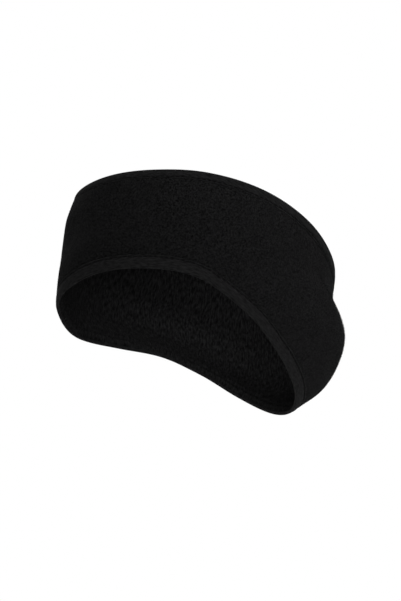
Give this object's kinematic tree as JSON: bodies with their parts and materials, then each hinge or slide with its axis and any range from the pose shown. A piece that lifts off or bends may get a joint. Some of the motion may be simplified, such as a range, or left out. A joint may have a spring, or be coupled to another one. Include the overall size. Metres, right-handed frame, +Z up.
{
  "type": "ear warmer headband",
  "caption": "Soft fleece ear warmer headband: a closed ring, low over the forehead and deep over the ears, with a brushed lining and bound edges, shown as worn.",
  "frame": {"origin": "The point inside the head that the band sits around: on the head's middle plane, half way between the forehead and the nape at the band's fullest, and about 10 mm below the middle of the band's height over the ears.", "axes": "+Z up the head, -Y towards the forehead, +Y towards the nape, +X towards the left ear."},
  "size_m": [0.1541, 0.2008, 0.1073],
  "materials": {
    "shell_fleece": "short matt pile, black",
    "brushed_lining": "brushed loose pile, black",
    "binding_strip": "smooth stretch knit strip, black"
  },
  "bodies": {
    "root": {"outer_shell": "shell_fleece", "fleece_lining": "brushed_lining", "lower_binding": "binding_strip", "upper_binding": "binding_strip"}
  },
  "joints": []
}
